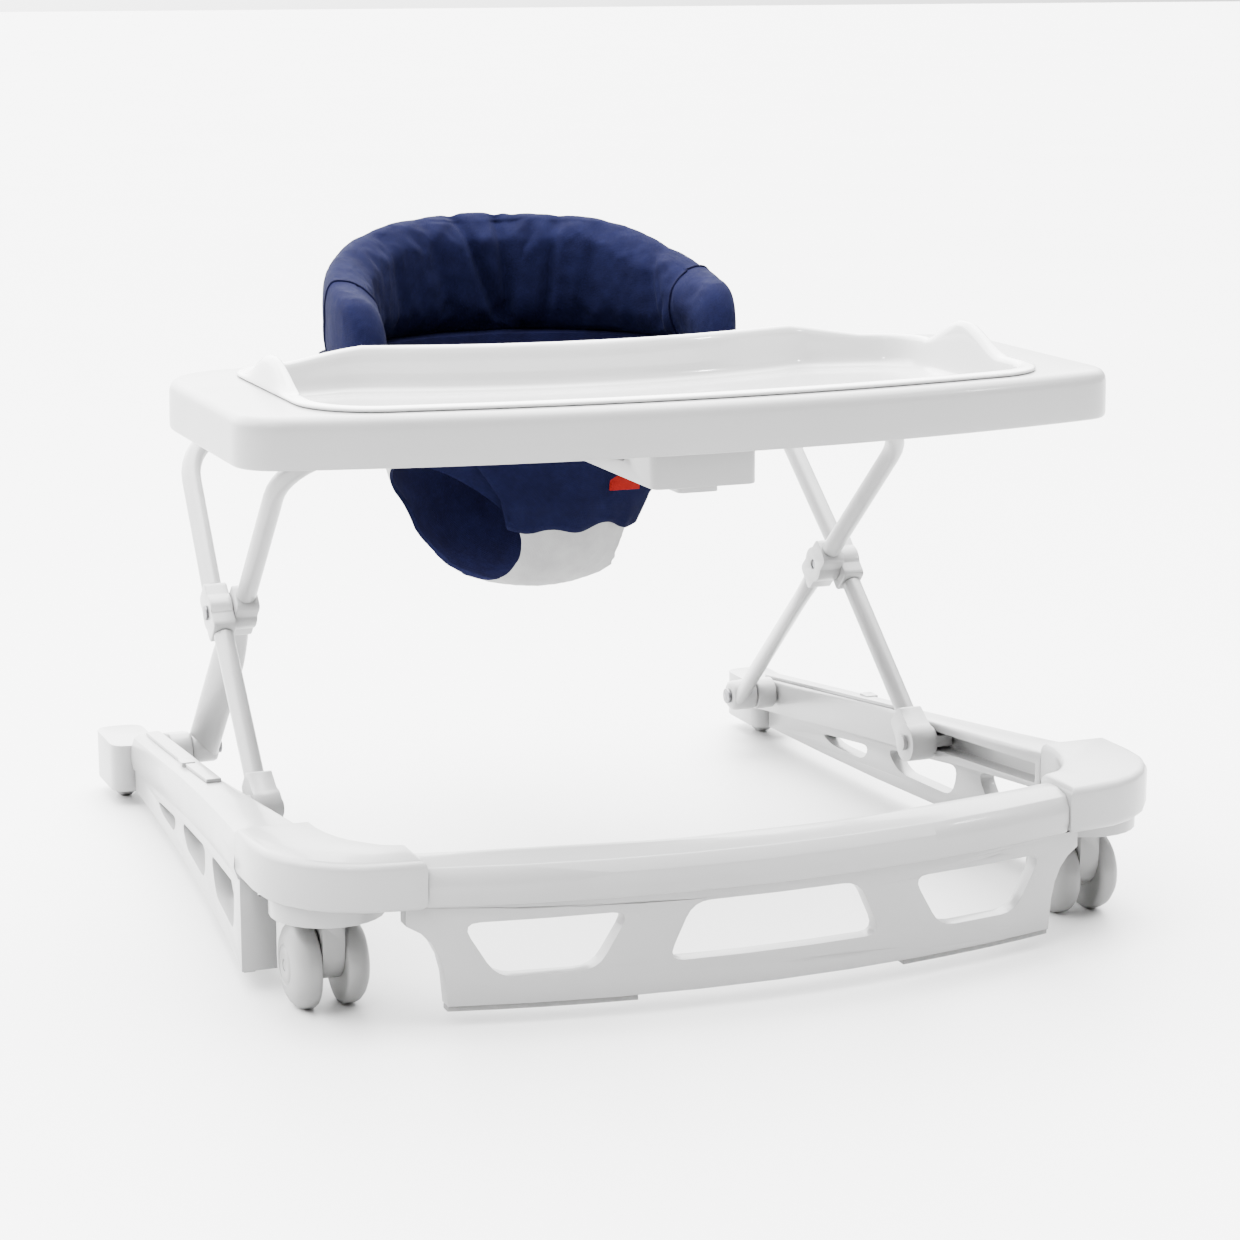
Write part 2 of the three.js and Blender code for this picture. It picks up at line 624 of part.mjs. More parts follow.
// The hanging seat: a cloth bowl, wide at the ring and narrow at the crotch, with two large leg openings.
function seatSling() {
  const legs = [-1, 1].map((side) => {
    const hole = new THREE.CylinderGeometry(60, 60, 110, 24).rotateZ(Math.PI / 2);
    hole.scale(1, 1, 0.87).rotateZ(-Math.PI / 2 + side * 1.2);
    return solid(hole.translate(side * 82.5, 104.5, 268));
  });
  return without(slingBowl(0, 0, SEAT.top), slingBowl(4, 4, SEAT.top + 5), ...legs);
}

function seatTag() {
  return box(-13, 13, -1, 1, -6, 6);
}

// ---- The assembly ----

const walker = new THREE.Group();

function add(name, manifold, material) {
  const mesh = new THREE.Mesh(geometryOf(manifold), material);
  mesh.name = name;
  walker.add(mesh);
  return mesh;
}

// Adds a piece made for the right side (+X), and its mirror image on the left.
function addPair(name, manifold, material) {
  add(`right_${name}`, manifold, material());
  add(`left_${name}`, mirrored(manifold), material());
}

add('front_rail', frontRail(), WHITE());
add('front_skirt', frontSkirt(), WHITE());
addPair('front_grip', frontGrip(), RUBBER);
addPair('corner_cap', frontCap(), WHITE);
addPair('caster_shell', lowerShell(), WHITE);
addPair('side_rail', sideRail(), WHITE);
addPair('rail_cover', railCover(), WHITE);
addPair('side_skirt', sideSkirt(), WHITE);
addPair('side_grip', sideGrip(), RUBBER);
addPair('rear_housing', rearHousing(), WHITE);
addPair('rear_bracket', rearBracket(), WHITE);
addPair('foot_bolt', footBolt(), STEEL);
addPair('rear_wheel', rearWheel(), WHITE);
addPair('caster_hood', casterHood(), WHITE);
addPair('outer_caster_disc', casterDisc(1), WHITE);
addPair('inner_caster_disc', casterDisc(-1), WHITE);

const { inner, outer } = HINGE_X;
add('front_upper_tube', upperTube(inner, inner + LEAN.inner, FRONT_BAR, INNER_ARM), PAINTED());
add('rear_upper_tube', upperTube(outer, outer - LEAN.outer, REAR_BAR, OUTER_ARM), PAINTED());
addPair('inner_leg', innerLeg(), WHITE);
addPair('outer_leg', outerLeg(), PAINTED);
addPair('inner_hinge_block', hingeBlock(248, 267.2, FRONT_BAR), WHITE);
addPair('outer_hinge_block', hingeBlock(267.6, 286, REAR_BAR), WHITE);
addPair('hinge_bolt', hingeBolt(), STEEL);
addPair('front_foot', frontFoot(), WHITE);
addPair('foot_slider', slider(), WHITE);

add('tray_shell', trayShell(), WHITE());
add('tray_insert', trayInsert(), WHITE());
add('adjuster_housing', adjusterHousing(), WHITE());
add('height_latch', heightLatch(), WHITE());
add('seat_ring', seatRing(), WHITE());
addPair('bar_clip', barClip(118), WHITE);
add('backrest_frame', backrestFrame(), WHITE());
add('back_pad', backPad(), FABRIC(0x1b2f78));
add('seat_sling', seatSling(), FABRIC(0x1b2f78));
add('seat_tag', seatTag(), FABRIC(0xd8302a)).position.set(72, 20, 318);

export default walker;
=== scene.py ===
"""The looks of a folding baby walker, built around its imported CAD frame. Metres, +Z up, the front faces -Y."""
import json
import math

import bmesh
import bpy
from mathutils.bvhtree import BVHTree
from mathutils import Matrix, Vector, noise

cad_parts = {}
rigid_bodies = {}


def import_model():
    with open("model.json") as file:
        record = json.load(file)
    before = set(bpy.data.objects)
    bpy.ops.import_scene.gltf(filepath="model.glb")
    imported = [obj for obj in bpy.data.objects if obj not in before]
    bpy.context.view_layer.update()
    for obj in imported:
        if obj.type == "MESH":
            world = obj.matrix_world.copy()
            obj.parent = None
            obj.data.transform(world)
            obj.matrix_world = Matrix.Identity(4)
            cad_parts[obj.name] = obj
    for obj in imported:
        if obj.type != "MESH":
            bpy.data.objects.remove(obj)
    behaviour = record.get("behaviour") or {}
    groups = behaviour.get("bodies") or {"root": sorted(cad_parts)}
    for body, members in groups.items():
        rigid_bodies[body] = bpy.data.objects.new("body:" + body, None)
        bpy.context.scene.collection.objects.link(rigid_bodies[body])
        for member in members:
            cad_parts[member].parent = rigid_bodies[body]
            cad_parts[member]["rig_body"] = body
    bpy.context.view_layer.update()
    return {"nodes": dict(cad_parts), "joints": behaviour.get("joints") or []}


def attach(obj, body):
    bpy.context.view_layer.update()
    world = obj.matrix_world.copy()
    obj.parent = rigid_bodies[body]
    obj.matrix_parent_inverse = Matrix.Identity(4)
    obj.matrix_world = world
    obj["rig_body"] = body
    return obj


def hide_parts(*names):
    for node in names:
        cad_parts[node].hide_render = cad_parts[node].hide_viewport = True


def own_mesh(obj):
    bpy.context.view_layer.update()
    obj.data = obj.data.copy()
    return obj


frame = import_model()
MM = 0.001
TAU = 2 * math.pi
nodes = frame["nodes"]
joint = {j["name"]: j for j in frame["joints"]}

# ---- Camera: a low three-quarter view from the left of the front ----

CAMERA_AT = (-0.881, -2.279, 0.735)
CAMERA_TURN = 21.71
CAMERA_DOWN = 12.33
CAMERA_LENS = 90.6


def make_camera():
    data = bpy.data.cameras.new("camera")
    data.lens = CAMERA_LENS
    data.sensor_width = 36
    camera = bpy.data.objects.new("camera", data)
    camera.location = CAMERA_AT
    camera.rotation_euler = (math.radians(90 - CAMERA_DOWN), 0, -math.radians(CAMERA_TURN))
    bpy.context.scene.collection.objects.link(camera)
    bpy.context.scene.camera = camera


make_camera()


# ---- Materials ----

class Shader:
    """A node material with a Principled shader and short ways to add nodes."""

    def __init__(self, name, rough, base=None, **sockets):
        self.material = bpy.data.materials.new(name)
        self.material.use_nodes = True
        self.tree = self.material.node_tree
        self.bsdf = self.tree.nodes["Principled BSDF"]
        self.bsdf.inputs["Roughness"].default_value = rough
        if base:
            self.bsdf.inputs["Base Color"].default_value = (*base, 1)
        for key, value in sockets.items():
            self.bsdf.inputs[key.replace("_", " ")].default_value = value
        self.coords = self.tree.nodes.new("ShaderNodeTexCoord").outputs["Object"]

    def add(self, kind, settings=None, **inputs):
        node = self.tree.nodes.new("ShaderNode" + kind)
        for key, value in (settings or {}).items():
            setattr(node, key, value)
        for key, value in inputs.items():
            socket = node.inputs[key.replace("_", " ")]
            if isinstance(value, bpy.types.NodeSocket):
                self.tree.links.new(value, socket)
            else:
                socket.default_value = value
        return node

    def link(self, output, socket):
        self.tree.links.new(output, self.bsdf.inputs[socket])

    def noise(self, scale, detail=2.0, stretch=None, rough=0.5):
        source = self.coords
        if stretch:
            source = self.add("Mapping", Vector=source, Scale=stretch).outputs["Vector"]
        return self.add("TexNoise", Vector=source, Scale=scale, Detail=detail, Roughness=rough).outputs["Fac"]

    def ramp(self, factor, low, high, a=0.3, b=0.7):
        node = self.add("ValToRGB", Fac=factor)
        node.color_ramp.elements[0].position = a
        node.color_ramp.elements[1].position = b
        node.color_ramp.elements[0].color = (*low, 1)
        node.color_ramp.elements[1].color = (*high, 1)
        return node.outputs["Color"]

    def span(self, factor, low, high):
        return self.add("MapRange", Value=factor, To_Min=low, To_Max=high).outputs["Result"]

    def bump(self, height, strength, distance, normal=None):
        inputs = {"Height": height, "Strength": strength, "Distance": distance}
        if normal:
            inputs["Normal"] = normal
        return self.add("Bump", **inputs).outputs["Normal"]


def moulded_plastic(name, base, rough, grain, coat=0.0):
    """Injection-moulded plastic: faint cloudiness, a slightly uneven gloss and a fine mould grain."""
    s = Shader(name, rough, Coat_Weight=coat, Coat_Roughness=0.06)
    darker = tuple(c * 0.955 for c in base)
    s.link(s.ramp(s.noise(9, 3), darker, base), "Base Color")
    s.link(s.span(s.noise(26, 4), rough - 0.05, rough + 0.07), "Roughness")
    waves = s.bump(s.noise(34, 1), 0.05, 0.0006)
    s.link(s.bump(s.noise(1700, 2), grain, 0.00012, waves), "Normal")
    return s.material


def powder_paint(name, base):
    """Powder coat on tube: orange peel and a few soft scuffs."""
    s = Shader(name, 0.34, Coat_Weight=0.25, Coat_Roughness=0.12)
    scuffs = s.ramp(s.noise(60, 6, (1, 1, 0.25)), tuple(c * 0.9 for c in base), base, 0.28, 0.42)
    s.link(scuffs, "Base Color")
    s.link(s.span(s.noise(90, 3), 0.27, 0.42), "Roughness")
    s.link(s.bump(s.noise(520, 2), 0.16, 0.0002), "Normal")
    return s.material


def grip_rubber(name, base):
    s = Shader(name, 0.8)
    s.link(s.ramp(s.noise(240, 5), tuple(c * 0.86 for c in base), base), "Base Color")
    s.link(s.bump(s.noise(900, 4), 0.4, 0.0004), "Normal")
    return s.material


def screw_steel(name):
    s = Shader(name, 0.38, Metallic=1.0)
    s.link(s.ramp(s.noise(300, 4), (0.10, 0.10, 0.105), (0.24, 0.24, 0.25)), "Base Color")
    s.link(s.span(s.noise(700, 3, (1, 8, 8)), 0.28, 0.5), "Roughness")
    return s.material


def woven_cloth(name, low, high, thread=2600, sheen=0.004, rough=0.88):
    """Plain-woven polyester: crossed threads, slubs and soft wear in the colour."""
    s = Shader(name, rough, Sheen_Weight=sheen, Sheen_Roughness=0.45, Specular_IOR_Level=0.03)
    warp = s.add("TexWave", {"bands_direction": "Z"}, Vector=s.coords, Scale=thread / 6, Distortion=0.6,
                 Detail=1.0, Detail_Scale=2.0).outputs["Fac"]
    weft = s.add("TexWave", {"bands_direction": "DIAGONAL"}, Vector=s.coords, Scale=thread / 9, Distortion=0.6,
                 Detail=1.0, Detail_Scale=2.0).outputs["Fac"]
    weave = s.add("Math", {"operation": "ADD"}).outputs[0]
    s.tree.links.new(warp, weave.node.inputs[0])
    s.tree.links.new(weft, weave.node.inputs[1])
    s.link(s.ramp(s.noise(42, 5, None, 0.62), low, high, 0.32, 0.7), "Base Color")
    s.link(s.span(s.noise(160, 3), rough - 0.08, rough + 0.06), "Roughness")
    soft = s.bump(s.noise(60, 4, (1, 1, 0.45)), 0.5, 0.0022)
    s.link(s.bump(weave, 0.35, 0.00025, soft), "Normal")
    return s.material


WHITE = moulded_plastic("white_plastic", (0.27, 0.27, 0.27), 0.30, 0.05, 0.15)
GLOSS = moulded_plastic("gloss_plastic", (0.50, 0.50, 0.50), 0.14, 0.01, 0.5)
WHEEL = moulded_plastic("wheel_plastic", (0.19, 0.19, 0.188), 0.40, 0.09)
PAINT = powder_paint("white_paint", (0.26, 0.26, 0.26))
RUBBER = grip_rubber("grip_rubber", (0.21, 0.21, 0.207))
STEEL = screw_steel("screw_steel")
NAVY = woven_cloth("navy_cloth", (0.0036, 0.0042, 0.0175), (0.0048, 0.0058, 0.0240))
NAVY_TRIM = woven_cloth("navy_trim", (0.0014, 0.0015, 0.0090), (0.0026, 0.0031, 0.0160), 1900, 0.003, 0.85)
LINING = woven_cloth("white_lining", (0.29, 0.29, 0.29), (0.36, 0.36, 0.36), 3000, 0.02, 0.9)
RED = woven_cloth("red_ribbon", (0.16, 0.007, 0.006), (0.22, 0.011, 0.009), 2400, 0.02, 0.8)


# ---- Mesh helpers ----

def mesh_object(name, points, faces, material, flat_angle=None):
    mesh = bpy.data.meshes.new(name)
    mesh.from_pydata([tuple(p) for p in points], [], faces)
    obj = bpy.data.objects.new(name, mesh)
    bpy.context.scene.collection.objects.link(obj)
    tidy_normals(mesh)
    mesh.materials.append(material)
    smooth(obj, flat_angle)
    return obj


def tidy_normals(mesh):
    bm = bmesh.new()
    bm.from_mesh(mesh)
    bmesh.ops.remove_doubles(bm, verts=bm.verts, dist=1e-7)
    bmesh.ops.recalc_face_normals(bm, faces=bm.faces)
    bm.to_mesh(mesh)
    bm.free()


def smooth(obj, flat_angle=None):
    """Shades smooth, with sharp edges above flat_angle degrees."""
    mesh = obj.data
    mesh.polygons.foreach_set("use_smooth", [True] * len(mesh.polygons))
    if flat_angle:
        mesh.set_sharp_from_angle(angle=math.radians(flat_angle))


def loft(name, rings, material, closed=True, caps=(True, True), loop=False, flat_angle=None):
    """A skin through rings of equally many points.

    closed joins each ring's ends, and loop joins the last ring to the first.
    """
    n = len(rings[0])
    points = [p for ring in rings for p in ring]
    faces = []
    spans = len(rings) if loop else len(rings) - 1
    for i in range(spans):
        a, b = i * n, ((i + 1) % len(rings)) * n
        for j in range(n if closed else n - 1):
            k = (j + 1) % n
            faces.append((a + j, a + k, b + k, b + j))
    if not loop and caps[0]:
        faces.append(tuple(range(n)))
    if not loop and caps[1]:
        faces.append(tuple(range(len(points) - n, len(points))))
    return mesh_object(name, points, faces, material, flat_angle)


def apply_modifiers(obj):
    """Replaces a piece's mesh with its evaluated one."""
    bpy.context.view_layer.update()
    evaluated = obj.evaluated_get(bpy.context.evaluated_depsgraph_get())
    mesh = bpy.data.meshes.new_from_object(evaluated)
    obj.modifiers.clear()
    obj.data = mesh
    return obj


def rounded_copy(node, material, width=1.2, segments=3, angle=32, name=None):
    """A copy of a CAD node's solid with its edges rounded, which takes the node's place."""
    mesh = nodes[node].data.copy()
    bm = bmesh.new()
    bm.from_mesh(mesh)
    bmesh.ops.remove_doubles(bm, verts=bm.verts, dist=2e-5)
    bmesh.ops.dissolve_limit(bm, angle_limit=math.radians(2.0), verts=bm.verts, edges=bm.edges)
    bm.to_mesh(mesh)
    bm.free()
    mesh.materials.clear()
    mesh.materials.append(material)
    obj = bpy.data.objects.new(name or node + "_shell", mesh)
    bpy.context.scene.collection.objects.link(obj)
    bevel = obj.modifiers.new("bevel", "BEVEL")
    bevel.width = width * MM
    bevel.segments = segments
    bevel.limit_method = "ANGLE"
    bevel.angle_limit = math.radians(angle)
    bevel.use_clamp_overlap = True
    bevel.miter_outer = "MITER_ARC"
    apply_modifiers(obj)
    smooth(obj, 50)
    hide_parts(node)
    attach(obj, nodes[node]["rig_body"])
    return obj


def both_sides(make):
    """Calls make(side, name prefix) for the right and the left."""
    for side, prefix in ((1, "right"), (-1, "left")):
        make(side, prefix)


def circle(n, r=1.0, start=0.0):
    return [(r * math.cos(start + TAU * i / n), r * math.sin(start + TAU * i / n)) for i in range(n)]


def tube_along(name, path, r, material, sides=24):
    """A round tube with flat ends along a path of points."""
    rings = []
    plane = None
    for i, p in enumerate(path):
        t = (path[min(i + 1, len(path) - 1)] - path[max(i - 1, 0)]).normalized()
        if plane is None:
            plane = t.orthogonal().normalized()
        u = (plane - t * plane.dot(t)).normalized()
        plane = u
        v = t.cross(u)
        rings.append([p + u * a + v * b for a, b in circle(sides, r)])
    return loft(name, rings, material, flat_angle=60)


def bent_path(corners, r, arc_steps=10, run_step=0.02):
    """Points along straight runs joined by true arcs of radius r."""
    out = [corners[0]]

    def run_to(p):
        n = max(1, round((p - out[-1]).length / run_step))
        a = out[-1].copy()
        out.extend(a.lerp(p, i / n) for i in range(1, n + 1))

    for before, at, after in zip(corners, corners[1:], corners[2:]):
        a, b = (before - at).normalized(), (after - at).normalized()
        half = a.angle(b) / 2
        reach = r / math.tan(half)
        centre = at + (a + b).normalized() * (r / math.sin(half))
        run_to(at + a * reach)
        start, end = at + a * reach - centre, at + b * reach - centre
        turn = start.angle(end)
        for i in range(1, arc_steps + 1):
            f = i / arc_steps
            out.append(centre + (start * math.sin((1 - f) * turn) + end * math.sin(f * turn)) / math.sin(turn))
    run_to(corners[-1])
    return out


def lathe_x(name, profile, centre, material, sides=64, flat_angle=45):
    """A solid of revolution about X: profile is (x, radius) in mm, from axis to axis."""
    rings = [[centre + Vector((x, r * c, r * s)) * MM for c, s in circle(sides)] for x, r in profile]
    return loft(name, rings, material, flat_angle=flat_angle)


# ---- The scissor frame's points, from the joints ----

REAR_FOOT = Vector(joint["fold"]["pos_m"])
HINGE = Vector(joint["scissor_hinge"]["pos_m"])
FRONT_FOOT = Vector(joint["foot_pivot"]["pos_m"])
REAR_BAR = Vector(joint["tray_hinge"]["pos_m"])
INNER_FOOT_X, INNER_HEAD_X = 253 * MM, 256.5 * MM
OUTER_FOOT_X, OUTER_HEAD_X = 0.281, 0.277
OUTER_LEG_START = 0.029
FRONT_BAR = HINGE * 2 - REAR_FOOT
TUBE_R = 8 * MM
BEND_R = 57 * MM
BLOCK_HALF = 22.3 * MM
TUBE_START = 23.1 * MM


def at_x(x, p):
    return Vector((x, p.y, p.z))


def make_upper_tube(name, node, body, x, lean, bar):
    start = HINGE + (bar - HINGE).normalized() * TUBE_START
    wide = x + lean
    path = bent_path([at_x(-x, start), at_x(-wide, bar), at_x(wide, bar), at_x(x, start)], BEND_R)
    obj = tube_along(name, path, TUBE_R, PAINT, 32)
    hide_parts(node)
    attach(obj, body)


def make_outer_leg(side, prefix):
    node = f"{prefix}_outer_leg"
    up = (HINGE - FRONT_FOOT).normalized()
    low, high = FRONT_FOOT + up * OUTER_LEG_START, HINGE - up * TUBE_START
    ends = [at_x(side * OUTER_FOOT_X, low), at_x(side * OUTER_HEAD_X, high)]
    obj = tube_along(node + "_tube", bent_path(ends, BEND_R), TUBE_R, PAINT, 32)
    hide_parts(node)
    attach(obj, "outer_frame")


make_upper_tube("front_upper_tube_bent", "front_upper_tube", "inner_frame", 0.2575, 0.005, FRONT_BAR)
make_upper_tube("rear_upper_tube_bent", "rear_upper_tube", "outer_frame", 0.277, -0.009, REAR_BAR)
both_sides(make_outer_leg)


def make_inner_leg(side, prefix):
    """The flat oval leg, which widens into a round boss at its foot."""
    node = f"{prefix}_inner_leg"
    along = (HINGE - REAR_FOOT).normalized()
    normal = Vector((0, along.z, -along.y))
    wide = Vector((0.62 * side, 0, 0)) + normal * 0.785
    narrow = along.cross(wide).normalized()
    head = at_x(side * INNER_HEAD_X, HINGE - along * BLOCK_HALF)
    foot = at_x(side * INNER_FOOT_X, REAR_FOOT)
    rings = []
    for i in range(25):
        t = i / 24
        grow = 15.2 - 5.5 * max(0.0, (t - 0.72) / 0.28) ** 1.6
        thick = 6.7 + 1.2 * max(0.0, (t - 0.85) / 0.15)
        p = foot.lerp(head, t)
        rings.append([p + wide * a * grow * MM + narrow * b * thick * MM for a, b in circle(40)])
    leg = loft(node + "_oval", rings, WHITE, flat_angle=50)
    boss_profile = [(-12, 4.2), (-12, 10.5), (-10.5, 12.6), (-8, 13.6), (8, 13.6), (10.4, 12.8), (11.4, 11),
                    (11.4, 4.2), (-12, 4.2)]
    boss = lathe_x(node + "_boss", boss_profile, foot, WHITE)
    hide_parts(node)
    for piece in (leg, boss):
        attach(piece, "inner_frame")


both_sides(make_inner_leg)


# ---- Plastic pieces that keep their CAD shape, with rounded edges ----

ROUNDED = {  # node: (material, edge width in mm)
    "rear_housing": (WHITE, 2.4), "rear_bracket": (WHITE, 1.8), "inner_hinge_block": (WHITE, 2.4),
    "outer_hinge_block": (WHITE, 2.4), "front_foot": (WHITE, 3.0), "foot_slider": (WHITE, 0.8),
    "side_skirt": (WHITE, 1.0), "side_rail": (WHITE, 1.0), "rail_cover": (WHITE, 0.7),
    "corner_cap": (WHITE, 0.6), "caster_shell": (WHITE, 1.5), "caster_hood": (WHEEL, 1.8),
    "front_grip": (RUBBER, 0.6), "side_grip": (RUBBER, 0.6), "bar_clip": (WHITE, 1.0),
    "hinge_bolt": (STEEL, 0.5), "foot_bolt": (STEEL, 0.5), "rear_wheel": (WHEEL, 0.6),
}


def make_rounded(side, prefix):
    for node, (material, width) in ROUNDED.items():
        rounded_copy(f"{prefix}_{node}", material, width)


both_sides(make_rounded)
rounded_copy("front_rail", WHITE, 0.8)
rounded_copy("front_skirt", WHITE, 1.0)
rounded_copy("adjuster_housing", WHITE, 2.2)
rounded_copy("height_latch", WHITE, 1.0)
rounded_copy("seat_ring", WHITE, 1.2)
rounded_copy("backrest_frame", WHITE, 0.8)


# ---- Casters ----

# Profiles as (distance from the caster's middle, radius) in mm.
DISC_PROFILE = [(8.5, 4.3), (8.5, 28), (9.3, 30.6), (11, 31.9), (14, 32), (18, 31.9), (21.5, 30.6), (24.6, 27.6),
                (26.8, 23.5), (28, 18.5), (28.4, 15.2), (27.7, 14.4), (27.7, 13.4), (28.5, 12.4), (28.7, 8),
                (28.7, 4.3), (8.5, 4.3)]
HUB_PROFILE = [(28.0, 0.01), (28.7, 3.0), (28.3, 3.9), (25, 4.1), (25, 0.01)]
CASTER_AXLE = (0.3, -0.256, 0.032)


def make_caster_disc(side, prefix):
    """The two discs of one caster, each with the end of its axle."""
    x, y, z = CASTER_AXLE
    centre = Vector((side * x, y, z))
    for word, sign in (("outer", side), ("inner", -side)):
        node = f"{prefix}_{word}_caster_disc"
        disc_profile = [(sign * x, r) for x, r in DISC_PROFILE]
        hub_profile = [(sign * x, r) for x, r in HUB_PROFILE]
        obj = lathe_x(node + "_wheel", disc_profile, centre, WHEEL, 72, 38)
        hub = lathe_x(node + "_hub", hub_profile, centre, WHEEL, 32, 50)
        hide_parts(node)
        for piece in (obj, hub):
            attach(piece, f"{prefix}_{word}_disc")


both_sides(make_caster_disc)


# ---- The tray: smooth outlines offset into lofted shells ----

SEAT_Y = 130
RING_POINTS = 360
RING_STRETCH = 2.1  # more points along the tray's long sides
TRAY_MIDDLE = Vector((0, -120))


def belly_line(x):
    return 5 + x * x / 930


def arc_points(cx, cy, r, a0, a1, n):
    return [(cx + r * math.cos(math.radians(a0 + (a1 - a0) * i / n)),
             cy + r * math.sin(math.radians(a0 + (a1 - a0) * i / n))) for i in range(n + 1)]


def mirrored_outline(right):
    """A closed outline from its right half, front to back."""
    return right + [(-x, y) for x, y in reversed(right) if abs(x) > 1e-6]


def tray_outline():
    right = [(x, -276 + 0.0004 * x * x) for x in range(0, 301, 20)]
    right += arc_points(309, -203, 34, -84, 0, 12)
    right += [(343, y) for y in (-170, -140, -110, -80, -50)]
    right += arc_points(283, -30, 60, 0, 84, 10)
    right += [(240, 37), (205, 44)]
    right += [(x, belly_line(x)) for x in range(180, -1, -20)]
    return mirrored_outline(right)


def basin_outline():
    right = [(x, -250 + 0.0004 * x * x) for x in range(0, 221, 20)]
    right += arc_points(230, -179, 50, -85, 0, 12)
    right += [(280, y) for y in (-150, -120, -90, -60)]
    right += arc_points(238, -30, 42, 0, 80, 8)
    right += [(x, belly_line(x) - 22) for x in range(190, -1, -19)]
    return mirrored_outline(right)


def around(points):
    """The outline resampled by an even sweep of directions from the tray's middle, as 2-D vectors."""
    out = []
    for i in range(RING_POINTS):
        t = TAU * i / RING_POINTS
        d = Vector((math.cos(t) * RING_STRETCH, math.sin(t))).normalized()
        best = None
        for a, b in zip(points, points[1:] + points[:1]):
            a, b = Vector(a) - TRAY_MIDDLE, Vector(b) - TRAY_MIDDLE
            e = b - a
            cross = d.x * e.y - d.y * e.x
            if abs(cross) < 1e-9:
                continue
            along = (a.x * e.y - a.y * e.x) / cross
            share = (a.x * d.y - a.y * d.x) / cross
            if along > 0 and -1e-6 <= share <= 1 + 1e-6 and (best is None or along > best):
                best = along
        out.append(d * best + TRAY_MIDDLE)
    for _ in range(2):
        out = [(out[i - 1] + out[i] * 2 + out[(i + 1) % len(out)]) / 4 for i in range(len(out))]
    return out


def inset(points, d):
    """The outline moved d inwards."""
    out = []
    for i, p in enumerate(points):
        t = (points[(i + 1) % len(points)] - points[i - 1]).normalized()
        out.append(p + Vector((-t.y, t.x)) * d)
    return out


TRAY = around(tray_outline())
BASIN = around(basin_outline())


def level(points, z, lift=None):
    """A ring of 3-D points at height z mm, raised where lift says."""
    return [Vector((p.x, p.y, z + (lift(p) if lift else 0))) * MM for p in points]


def make_tray_shell():
    steps = [(BASIN, 10, 388.4), (BASIN, 3, 388.4), (BASIN, -0.4, 391), (BASIN, -0.6, 395), (BASIN, -0.6, 412.5),
             (BASIN, -1.6, 414.6), (BASIN, -3, 415), (BASIN, -11.6, 415), (TRAY, 9.4, 415), (TRAY, 6.6, 414.6),
             (TRAY, 4.0, 413.4), (TRAY, 2.0, 411.3), (TRAY, 0.8, 408.6), (TRAY, 0.35, 405), (TRAY, 0.15, 397),
             (TRAY, 0, 388), (TRAY, 0, 381), (TRAY, 0.5, 379.2), (TRAY, 1.5, 378.2), (TRAY, 2.8, 378.1),
             (TRAY, 3.7, 378.8), (TRAY, 4, 380.5), (TRAY, 4.2, 404), (TRAY, 6, 409), (TRAY, 9, 411),
             (BASIN, -7, 411), (BASIN, -4, 409), (BASIN, -3.6, 405), (BASIN, -3.6, 390), (BASIN, -2, 386.6),
             (BASIN, 3, 385.4), (BASIN, 10, 385.4)]
    rings = [level(inset(outline, d), z) for outline, d, z in steps]
    obj = loft("tray_shell_moulding", rings, WHITE, flat_angle=60)
    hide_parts("tray_shell")
    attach(obj, "tray")


def bump_at(value, centre, half):
    """A smooth bump, 1 at the centre and 0 beyond half to either side."""
    t = abs(value - centre) / half
    return 0.0 if t >= 1 else (0.5 + 0.5 * math.cos(math.pi * t)) ** 0.8


def rim_lift(p):
    """The insert's rim rises into an arch at each end and a low wall at the belly."""
    end = min(1.0, max(0.0, (abs(p.x) - 232) / 38))
    arch = 20.5 * bump_at(p.y, -95, 62) * end
    belly = 9.0 * min(1.0, max(0.0, (p.y + 45) / 30)) * (1 - min(1.0, max(0.0, (abs(p.x) - 180) / 60)))
    return arch + belly


def make_tray_insert():
    steps = [(12, 389.2, 0), (4, 389.2, 0), (0.6, 392, 0), (0, 397, 0), (0, 413, 0), (-1.5, 415.3, 0),
             (-9.5, 415.3, 0), (-10.8, 415.9, 0), (-11, 416.8, 0), (-10.4, 417.9, 0.08), (-9, 418.4, 0.35),
             (-7.4, 418.7, 0.72), (-5.6, 418.9, 0.95), (-3.4, 419.0, 1.0), (-1, 418.9, 1.0), (0.8, 418.3, 0.97),
             (2.1, 416.9, 0.9), (2.8, 414.5, 0.75), (3.2, 411, 0.5), (3.7, 406, 0.2), (4.3, 401, 0.05),
             (5.4, 397.4, 0), (7.6, 394.6, 0), (10.6, 392.8, 0), (14.5, 392.1, 0), (20, 392, 0)]
    rings = [level(inset(BASIN, d), z, lambda p, s=share: s * rim_lift(p)) for d, z, share in steps]
    obj = loft("tray_insert_moulding", rings, GLOSS, flat_angle=70)
    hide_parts("tray_insert")
    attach(obj, "tray_insert")


make_tray_shell()
make_tray_insert()


# ---- The padded seat back ----

PAD_MID, PAD_LOW = 151, 399
PAD_SINK = 5
PAD_HALF = 17.0
PAD_END = math.radians(-9)
WING_REACH = 0.2
SEAM_ANGLE = 0.12
SWELL_PRESSURE, SWELL_LIMIT, SWELL_FRAMES = 4.0, 6.0, 20


def pad_top(angle):
    """The pad's top edge: high at the back, sloping down to the wings."""
    shoulder = (angle - 0.75) / 0.35
    return 463 + 44 * math.sin(angle) + 6 * math.exp(-shoulder * shoulder)


